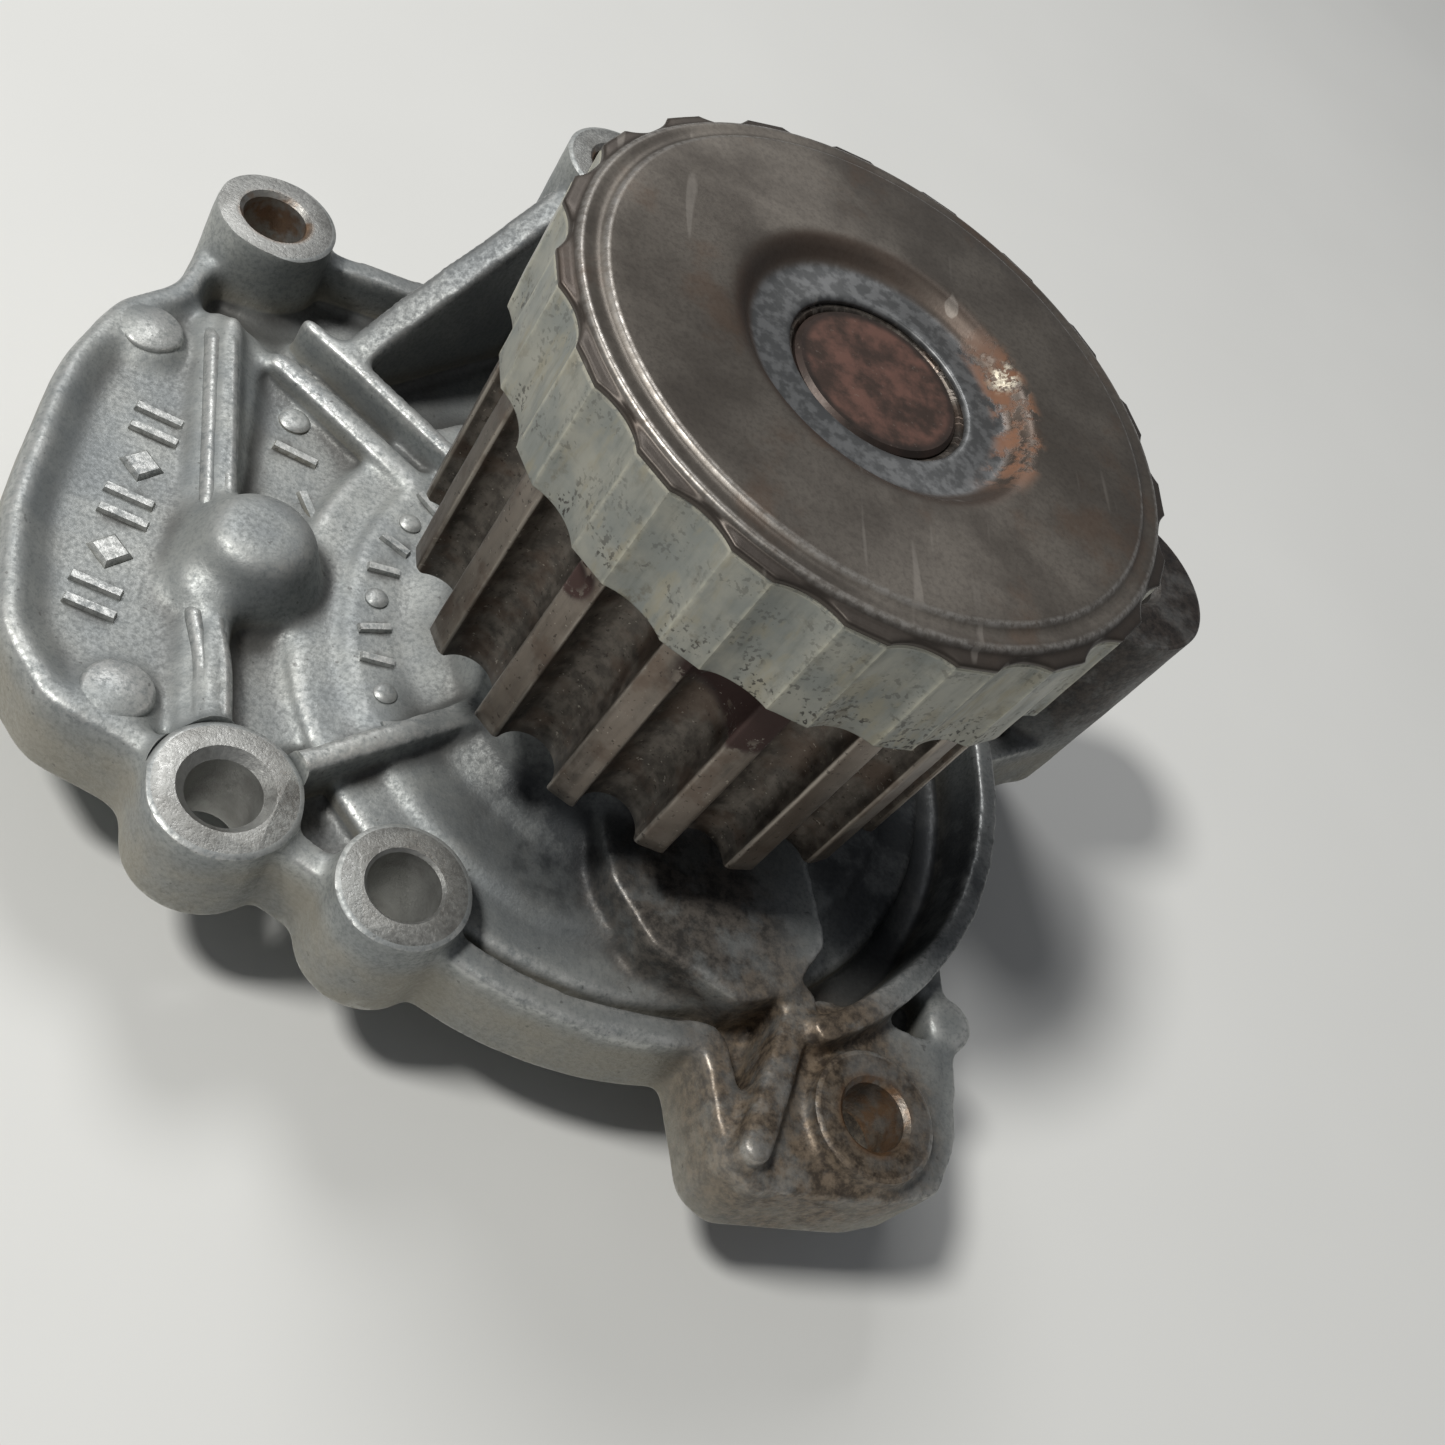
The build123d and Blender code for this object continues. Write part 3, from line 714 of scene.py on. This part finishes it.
def raw_casting(bm, outline):
    """The casting before machining: every hole filled and stock left on the faces to be cut."""
    hub_top = highest(bm)
    mesh = bpy.data.meshes.new("stock")
    bm.to_mesh(mesh)
    stock = [show("stock", mesh), prism("base", outline, -1.5, FLANGE_FLOOR)]
    core_r = HUB_R - 1.5
    stock.append(lathe("hub_core", [(core_r, -1.0), (core_r, hub_top - 0.5), (core_r, hub_top + 1.2)]))
    for boss in boss_plan():
        core_r = boss.hole + 1.6
        stock.append(lathe("core", [(core_r, -1.0), (core_r, boss.top - 0.3)], 48, boss.x, boss.y))
        cap_ends = [(boss.outer, boss.top - 2.0), (boss.outer, boss.top + 1.3)]
        stock.append(lathe("cap", cap_ends, 64, boss.x, boss.y))
    stock.append(lathe("flare", [(4.6, 0.0), (4.3, 9.2), (3.2, 10.6)], 32, -43.4, -4.4))
    casting = join("pump_housing_cast", stock)
    grid = casting.modifiers.new("grid", "REMESH")
    grid.mode, grid.voxel_size, grid.adaptivity = "VOXEL", VOXEL * MM, 0.0
    return applied(casting)


def ridge_line(y):
    """Left edge of the pan's ridge, which leans out a little at the foot of the dome."""
    return -49.7 + 0.164 * (27.1 - y) - 0.9 * np.exp(-((y + 8) / 4) ** 2)


def round_edges(casting):
    """Rounds the edges as die casting leaves them, more on the pan, dome and rims than on thin ribs."""
    mesh = casting.data
    co, pairs = coordinates(mesh), edge_pairs(mesh)
    co = relax(co, pairs, np.full(len(co), 0.5), 6)
    x, y, z = co.T / MM
    left = np.clip((-44 - x) / 4, 0, 1)
    plan = relax(co, pairs, 0.5 * left, 60)
    co[:, :2] = plan[:, :2]
    rim = np.clip(np.abs(x - ridge_line(y)) / 2 - 1.5, 0, 1) * np.clip((-42 - x) / 3, 0, 1)
    from_dome = np.hypot(x - DOME[0], y - DOME[1])
    rib = falloff(np.hypot(x - RIB_FOOT[0], y - RIB_FOOT[1]), 2, 7)
    below = np.clip((16 - z) / 2, 0, 1)
    near = np.maximum.reduce([rim, falloff(from_dome, 8, 11), rib])
    co = relax(co, pairs, 0.5 * below * np.clip(near, 0, 1), 12)
    co = relax(co, pairs, 0.5 * np.maximum(falloff(from_dome, 5, 8), 0.8 * rib * below), 18)
    co = relax(co, pairs, np.full(len(co), 0.25), 2)
    wave = np.array([
        0.09 * noise.noise(Vector(v) / 0.009) + 0.035 * noise.noise(Vector(v) / 0.0022) for v in co])
    write_back(mesh, co)
    low, high = (np.array(corner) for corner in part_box("pump_housing"))
    moved = co + point_normals(mesh) * wave[:, None] * MM
    moved[:, :2] = np.clip(moved[:, :2], low[:2], high[:2])
    write_back(mesh, moved)
    thin = casting.modifiers.new("thin", "DECIMATE")
    thin.ratio = 0.55
    return applied(casting)


def cast_bar(x, y, length, width, angle, base):
    """Small raised bar with drafted sides."""
    turn = Matrix.Rotation(radians(angle), 2)
    rows = []
    for share, z in ((1.0, base - 0.5), (0.95, base + 0.1), (0.72, base + MARK_HEIGHT)):
        inset = (1 - share) * width
        half = (length - inset) / 2, (width - inset) / 2
        corners = [(half[0], half[1]), (-half[0], half[1]), (-half[0], -half[1]), (half[0], -half[1])]
        rows.append([(*(turn @ Vector(c) + Vector((x, y))), z) for c in corners])
    return loft("bar", rows, closed=False)


def cast_pip(x, y, r, base, height=MARK_HEIGHT):
    """Round raised pad with a soft rim."""
    profile = [(r, base - 0.5), (r * 0.97, base + height * 0.4), (r - 0.3, base + height * 0.85),
               (r - 0.6, base + height)]
    return lathe("pip", profile, 40, x, y)


def ridge_bead(shift, start, end, width, low, top):
    """Rounded bead that follows the ridge line from y = start to y = end."""
    count = 36
    y = np.linspace(start, end, count)
    x = ridge_line(y) + shift
    fade = np.clip(np.minimum(np.arange(count), np.arange(count)[::-1]) / 3, 0, 1)
    rise = [(-0.5, 0), (-0.5, 0.5), (-0.42, 0.8), (-0.25, 0.95)]
    section = rise + [(0, 1)] + [(-u, v) for u, v in reversed(rise)]
    rings = [[(x[i] + u * width, y[i], low + v * (top - low) * (0.6 + 0.4 * fade[i])) for u, v in section]
             for i in range(count)]
    return loft("bead", rings, closed=False)


def cast_marks():
    """Beads and pads of the pan, and plain foundry marks: bars, pips and diamonds, no lettering."""
    marks = [ridge_bead(shift, start, end, 1.9, 7.0, top) for shift, top in ((0.3, 9.8), (2.2, 10.1))
             for start, end in ((28.5, 2.0), (-7.5, -21.5))]
    marks += [cast_pip(x, y, PAD_R, PAN_FLOOR, 1.5) for x, y in ((-55.1, 24.3), (-48.9, -19.2))]
    for i in range(5):
        x, y = -53.0 + 0.25 * i, -9.5 + 5.6 * i
        if i % 2:
            marks.append(cast_bar(x, y, 3.1, 3.1, 45, PAN_FLOOR))
        else:
            marks += [cast_bar(x, y + d, 4.8, 1.1, -8, PAN_FLOOR) for d in (-1.3, 1.3)]
    marks += [cast_pip(-39.2, 21.4, 1.7, PLATE_TOP), cast_bar(-38.4, 16.8, 4.8, 1.1, -10, PLATE_TOP)]
    marks.append(cast_bar(-36.0, 10.3, 4.2, 1.1, -60, PLATE_TOP))
    for i in range(9):
        a = radians(150 + 7.6 * i)
        x, y = MARK_RING_R * cos(a), MARK_RING_R * sin(a)
        if i % 3 == 1:
            marks.append(cast_pip(x, y, 1.2, RING_TOP))
        else:
            marks.append(cast_bar(x, y, 3.4, 1.0, degrees(a) + (12 if i % 2 else -12), RING_TOP))
    return marks


def skim(boss):
    """Cutter that leaves a boss with a flat top and a slightly rounded rim."""
    outer, top = boss.outer, boss.top
    profile = [(outer - 0.5, top), (outer - 0.25, top - 0.07), (outer, top - 0.22),
               (outer + 0.15, top - 0.45), (outer + 0.6, top + 4)]
    return lathe("skim", profile, 64, boss.x, boss.y)


def drill(boss):
    """Cutter for a screw hole, its bevel and its dowel bore if it has one."""
    steps = [(boss.hole, -2.0), (boss.hole, boss.top - boss.bevel), (boss.hole + boss.bevel, boss.top),
             (boss.hole + boss.bevel, boss.top + 3)]
    dowel = mounts.get(f"{boss.name}_dowel_bore")
    if dowel:
        wide, depth = dowel["dims"]["r_mm"], dowel["dims"]["length_mm"]
        steps[:1] = [(wide, -2.0), (wide, depth - 0.01), (boss.hole, depth)]
    return lathe("drill", steps, 64, boss.x, boss.y)


def machine(casting, bm):
    """Cuts the flat faces, holes, bores and seal groove to the CAD sizes."""
    hub_top = highest(bm)
    ground = prism("ground", np.array([(-90, -90), (90, -90), (90, 90), (-90, 90)], float), -9.0, 0.0)
    combine(casting, ground, "DIFFERENCE")
    skims = [skim(boss) for boss in boss_plan()]
    skims.append(lathe("skim", [(HUB_R + 1.5, hub_top), (HUB_R + 1.5, hub_top + 4)]))
    combine(casting, join("skims", skims), "DIFFERENCE")

    drills = [lathe("bore", [(BEARING_R, -2.0), (BEARING_R, hub_top + 5)], 128)]
    drills += [drill(boss) for boss in boss_plan()]
    combine(casting, join("drills", drills), "DIFFERENCE")

    groove_outer, groove_inner, opening = level_loops(bm, 0.0)[1:4]
    ring = prism("ring", groove_outer, -1.0, SEAL_GROOVE_DEPTH)
    combine(ring, prism("island", groove_inner, -2.0, SEAL_GROOVE_DEPTH + 1), "DIFFERENCE")
    combine(casting, ring, "DIFFERENCE")
    combine(casting, prism("chamber", opening, -1.0, CHAMBER_ROOF), "DIFFERENCE")
    passage = level_loops(bm, PASSAGE_ROOF)[0]
    combine(casting, prism("passage", passage, -1.0, PASSAGE_ROOF), "DIFFERENCE")


def paint_cut_faces(casting):
    """Gives the machined faces the second material."""
    mesh = casting.data
    count = len(mesh.polygons)
    centre, normal = np.empty(count * 3), np.empty(count * 3)
    mesh.polygons.foreach_get("center", centre)
    mesh.polygons.foreach_get("normal", normal)
    x, y, z = centre.reshape(-1, 3).T / MM
    up = normal.reshape(-1, 3)[:, 2]
    cut = (np.abs(z) < 0.01) & (up < -0.99)
    cut |= (np.abs(np.hypot(x, y) - BEARING_R) < 0.06) & (np.abs(up) < 0.2)
    cut |= (np.hypot(x, y) < HUB_R) & (up > 0.99) & (z > 2 * HUB_R)
    for boss in boss_plan():
        away = np.hypot(x - boss.x, y - boss.y)
        cut |= (away < boss.outer + 0.6) & (np.abs(z - boss.top) < 0.01) & (up > 0.9)
        cut |= away < boss.hole + boss.bevel + 0.05
        if f"{boss.name}_dowel_bore" in mounts:
            cut |= (away < 4.6) & (z < 5.05)
    mesh.polygons.foreach_set("material_index", cut.astype(np.int32))
    mesh.update()


def housing():
    """The body: cast with stock, edges rounded, marks raised, then machined."""
    bm = welded_copy("pump_housing")
    outline = level_loops(bm, 0.0)[0]
    casting = round_edges(raw_casting(bm, outline))
    for mark in cast_marks():
        combine(casting, mark, "UNION")
    machine(casting, bm)
    bm.free()
    casting.data.materials.clear()
    for material in (cast_aluminium(), machined_aluminium()):
        casting.data.materials.append(material)
    paint_cut_faces(casting)
    mark_relief(casting)
    soften(casting, 40)
    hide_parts("pump_housing")
    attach(casting, "housing")


# ---- pulley, sleeve and cap -----------------------------------------------------------

def tooth_outline(tip):
    """Angles and radii round the toothed rim, with rounded tooth edges."""
    ring, reach = tip - GROOVE_INSET, tip - TOOTH_FILLET
    turn = acos((ring ** 2 + reach ** 2 - (GROOVE_R + TOOTH_FILLET) ** 2) / (2 * ring * reach))
    fillet_x, fillet_y = reach * cos(turn), reach * sin(turn)
    lean = atan2(fillet_y, fillet_x - ring)
    half = [(ring + GROOVE_R * cos(a), GROOVE_R * sin(a)) for a in np.linspace(pi, lean, 11)]
    half += [(fillet_x + TOOTH_FILLET * cos(a), fillet_y + TOOTH_FILLET * sin(a))
             for a in np.linspace(lean - pi, turn, 6)[1:]]
    half += [(tip * cos(a), tip * sin(a)) for a in np.linspace(turn, TOOTH_STEP / 2, 4)[1:]]
    tooth = [(x, -y) for x, y in half[:0:-1]] + half[:-1]
    angles, radii = [], []
    for i in range(TEETH):
        for x, y in tooth:
            angles.append(GROOVE_PHASE + i * TOOTH_STEP + atan2(y, x))
            radii.append(sqrt(x * x + y * y))
    return np.array(angles), np.array(radii)


def scallop_angles(per_land=12, per_scoop=26):
    """Angles round the sleeve with a point exactly on every crease between land and scoop."""
    half = TOOTH_STEP / 2 - SLEEVE_LAND_HALF_ANGLE
    scoop = np.linspace(-half, half, per_scoop)
    land = TOOTH_STEP / 2 + np.linspace(-SLEEVE_LAND_HALF_ANGLE, SLEEVE_LAND_HALF_ANGLE, per_land)[1:-1]
    one = np.concatenate([scoop, land])
    return np.concatenate([GROOVE_PHASE + i * TOOTH_STEP + one for i in range(TEETH)])


def scallop_radii(angles, outer):
    """Radius of the sleeve at each angle: narrow flat lands between shallow scoops."""
    half = TOOTH_STEP / 2 - SLEEVE_LAND_HALF_ANGLE
    chord = outer * sin(half)
    sagitta = SLEEVE_VALLEY - outer * (1 - cos(half))
    scoop = (chord ** 2 + sagitta ** 2) / (2 * sagitta)
    centre = outer - SLEEVE_VALLEY + scoop
    off = (angles - GROOVE_PHASE + TOOTH_STEP / 2) % TOOTH_STEP - TOOTH_STEP / 2
    inside = np.clip(scoop ** 2 - (centre * np.sin(off)) ** 2, 0, None)
    valley = centre * np.cos(off) - np.sqrt(inside)
    flat = outer * cos(SLEEVE_LAND_HALF_ANGLE) / np.cos(TOOTH_STEP / 2 - np.abs(off))
    return np.where(np.abs(off) < half, valley, flat)


def ripple(rings, size, depth):
    """Moves ring points in or out a little, so that long edges aren't ruler straight."""
    for ring in rings:
        for point in ring:
            shift = noise.noise(Vector(point) / size) * depth
            length = sqrt(point[0] ** 2 + point[1] ** 2)
            point[:2] *= 1 + shift / length
    return rings


def pulley():
    """Toothed rim, flat front web and the hollow behind it."""
    low, high = (c.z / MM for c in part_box("toothed_pulley"))
    tip = node_reach("toothed_pulley")
    angles, radii = tooth_outline(tip)
    heights = np.linspace(low + PULLEY_BEVEL, high - PULLEY_BEVEL, 26)
    rings = [outline_ring(radii - PULLEY_BEVEL, angles, low)]
    rings += [outline_ring(radii - 0.02, angles, z) for z in heights]
    rings = ripple(rings, 2.6, 0.05)
    rings.append(outline_ring(radii - PULLEY_BEVEL, angles, high))
    web = high - PULLEY_WEB
    for r, z in ((SHAFT_R + 0.4, high), (SHAFT_R, high - 0.4), (SHAFT_R, web), (PULLEY_CAVITY_R - 2, web),
                 (PULLEY_CAVITY_R - 0.6, web - 0.6), (PULLEY_CAVITY_R, web - 2), (PULLEY_CAVITY_R, low + 0.5),
                 (PULLEY_CAVITY_R + 0.5, low)):
        rings.append(outline_ring(np.full(len(angles), r), angles, z))
    body = soften(loft("pulley_body", rings, [pulley_steel()]), 45)
    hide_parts("toothed_pulley")
    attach(body, "rotor")


def sleeve():
    """Scalloped sleeve with a slightly ragged lower edge."""
    low, high = (c.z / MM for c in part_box("pulley_sleeve"))
    outer = node_reach("pulley_sleeve") - 0.02
    inner = node_reach("toothed_pulley") + 0.01
    angles = scallop_angles()
    radii = scallop_radii(angles, outer)
    ragged = np.array([0.14 * noise.noise(Vector((cos(a), sin(a), 0)) * 9.0) for a in angles])
    foot = low + 0.16 + ragged
    rings = [outline_ring(radii - 0.2, angles, foot - 0.02), outline_ring(radii - 0.05, angles, foot + 0.1)]
    rings += [outline_ring(radii, angles, z) for z in np.linspace(low + 0.6, high - 0.3, 10)]
    rings = ripple(rings, 3.0, 0.05)
    rings.append(outline_ring(radii - 0.15, angles, high))
    rings.append(outline_ring(np.full(len(angles), inner), angles, high))
    rings.append(outline_ring(np.full(len(angles), inner), angles, low + 0.3))
    band = loft("sleeve_band", rings, [sleeve_zinc()])
    x, y, _ = coordinates(band.data).T
    off = np.abs((np.arctan2(y, x) - GROOVE_PHASE + TOOTH_STEP / 2) % TOOTH_STEP - TOOTH_STEP / 2)
    # points on the land creases, where the zinc material paints a highlight
    line = falloff(np.abs(off - TOOTH_STEP / 2 + SLEEVE_LAND_HALF_ANGLE) * outer, 0.05, 0.3)
    store(band.data, "edge", line)
    soften(band, 12)
    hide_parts("pulley_sleeve")
    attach(band, "rotor")


def cap():
    """Pressed cap: scalloped brim, two soft shoulders, flat face and a dished ring round the shaft."""
    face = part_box("front_cap")[1].z / MM
    brim = face - CAP_STEP
    dish = face - CAP_DISH_DEPTH
    outer = node_reach("front_cap") - 0.02
    angles = scallop_angles()
    lip = scallop_radii(angles, outer)
    nick = np.array([0.1 * noise.noise(Vector((cos(a), sin(a), 2)) * 14.0) for a in angles])
    rings = [outline_ring(lip - 0.15, angles, brim - CAP_SHEET)]
    rings += [outline_ring(lip - 0.1 + nick, angles, z) for z in (brim - 0.5, brim - 0.3)]
    rings.append(outline_ring(lip - 0.28, angles, brim - 0.14))
    shoulder = 28.66
    rings += [outline_ring((lip - 0.28) * (1 - t) + shoulder * t, angles, brim - 0.14 + 0.17 * t)
              for t in (0.3, 0.65)]
    profile = [
        (shoulder, brim + 0.03), (28.55, brim + 0.14), (28.44, brim + 0.3), (28.3, brim + 0.45),
        (28.1, brim + 0.54), (27.85, brim + 0.56), (27.5, brim + 0.53), (27.1, brim + 0.5),
        (26.75, brim + 0.53), (26.5, brim + 0.64), (26.3, brim + 0.83), (26.1, face - 0.05),
        (25.8, face), (24, face - 0.02), (21, face - 0.04), (18, face - 0.03), (15.9, face),
        (15.2, face - 0.03), (14.7, face - 0.12), (14.25, face - 0.34), (13.75, face - 0.8),
        (13.3, face - 1.25), (12.9, face - 1.58), (12.4, dish + 0.04), (11.9, dish),
        (10.6, dish - 0.02), (9.5, dish + 0.03), (9.1, dish), (8.84, dish - 0.12),
        (CAP_HOLE_R, dish - 0.4), (CAP_HOLE_R + 0.15, dish - CAP_SHEET), (12.5, dish - CAP_SHEET),
        (14.9, face - CAP_SHEET - 0.1), (25.8, face - CAP_SHEET), (26.4, brim - 0.35),
        (27.6, brim - 0.5), (28.2, brim - CAP_SHEET),
    ]
    rings += [outline_ring(np.full(len(angles), r), angles, z) for r, z in profile]
    for ring in rings:
        for point in ring:
            point[2] += 0.03 * noise.noise(Vector(point) / 9.0) - 0.03
    pressed = soften(loft("cap_pressing", rings, [cap_steel()]), 60)
    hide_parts("front_cap")
    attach(pressed, "rotor")


# ---- carried-over CAD pieces ------------------------------------------------------------

def dress_nodes():
    """Gives the CAD pieces that are shown as they are their materials."""
    bearing = turned_steel("bearing_steel", (150, 148, 144), (104, 102, 100), 0.24, 0.15)
    rubber = moulded("black_rubber", (44, 44, 46), (26, 26, 28), 0.5)
    cage = moulded("cage_plastic", (150, 112, 62), (118, 86, 46), 0.42)
    finishes = {
        "shaft": shaft_steel(),
        "bearing_outer_ring": bearing, "rear_bearing_balls": bearing, "front_bearing_balls": bearing,
        "rear_bearing_cage": cage, "front_bearing_cage": cage,
        "rear_bearing_seal": rubber, "front_bearing_seal": rubber,
        "seal_bellows": rubber, "mating_ring_boot": rubber,
        "slinger": turned_steel("stamped_steel", (140, 136, 130), (96, 92, 88), 0.3, 0.3),
        "seal_cup": turned_steel("seal_brass", (176, 146, 84), (132, 104, 58), 0.3, 0.2),
        "seal_spring": turned_steel("spring_steel", (168, 168, 164), (120, 120, 118), 0.22),
        "seal_carbon_ring": moulded("seal_carbon", (52, 52, 54), (34, 34, 36), 0.32, 0.2),
        "seal_mating_ring": moulded("seal_ceramic", (222, 216, 202), (198, 190, 174), 0.2),
        "impeller_hub": impeller_iron(), "impeller": impeller_iron(),
        "perimeter_seal": moulded("green_rubber", (46, 92, 66), (30, 66, 48), 0.48),
    }
    for node, material in finishes.items():
        mesh = frame["nodes"][node].data
        if not mesh.materials:
            mesh.materials.append(None)
        for slot in frame["nodes"][node].material_slots:
            slot.material = material


# ---- floor, light and camera (metres) -------------------------------------------------------

LAMP_AIM = (0, 0, 0.02)


def floor():
    """Plain pale board under the lowest point of the pump."""
    side, rest = 900, cad_box[0].z / MM
    corners = [(-side, -side, rest), (side, -side, rest), (side, side, rest), (-side, side, rest)]
    p = Paint("floor_board")
    cloud = p.grain(60.0, 3.0, 0.5)
    p.bumps((p.grain(3.0, 3.0, 0.5, seed=2.0), 0.08, 0.1))
    p.finish(p.blend(cloud, srgb(214, 214, 210), srgb(222, 222, 218)), 0.55, 0.0)
    ground = from_points("floor", corners, [(0, 1, 2, 3)], [p.material])


def lamp(name, where, size, watts, color):
    """Round area light that faces the pump."""
    data = bpy.data.lights.new(name, "AREA")
    data.shape, data.size, data.energy, data.color = "DISK", size, watts, color
    obj = bpy.data.objects.new(name, data)
    scene.collection.objects.link(obj)
    obj.location = where
    obj.rotation_mode = "QUATERNION"
    obj.rotation_quaternion = (Vector(LAMP_AIM) - Vector(where)).to_track_quat("-Z", "Y")


def studio():
    """Two soft lights on the left and a faint sky."""
    lamp("key", (-0.62, -0.06, 0.86), 0.18, 8.4, (1.0, 0.99, 0.97))
    lamp("side", (-0.2, 0.55, 0.85), 0.34, 3.6, (0.99, 0.99, 1.0))
    world = bpy.data.worlds.new("studio")
    world.use_nodes = True
    sky = world.node_tree.nodes["Background"]
    sky.inputs["Color"].default_value = (0.9, 0.93, 1.0, 1.0)
    sky.inputs["Strength"].default_value = 0.14
    scene.world = world
    scene.view_settings.view_transform = "Standard"


def camera():
    """The photo's view, with the lens, place and direction fitted to it."""
    data = bpy.data.cameras.new("camera")
    data.lens, data.sensor_width, data.clip_start = 39.8616, 36.0, 0.01
    obj = bpy.data.objects.new("camera", data)
    scene.collection.objects.link(obj)
    right = Vector((0.879607, 0.0, 0.475702))
    up = Vector((-0.281554, 0.806032, 0.520614))
    forward = Vector((0.383431, 0.591872, -0.708991))
    obj.matrix_world = Matrix((right, up, -forward)).transposed().to_4x4()
    obj.location = (-0.05513, -0.10298, 0.13004)
    scene.camera = obj


camera()
housing()
pulley()
sleeve()
cap()
dress_nodes()
floor()
studio()
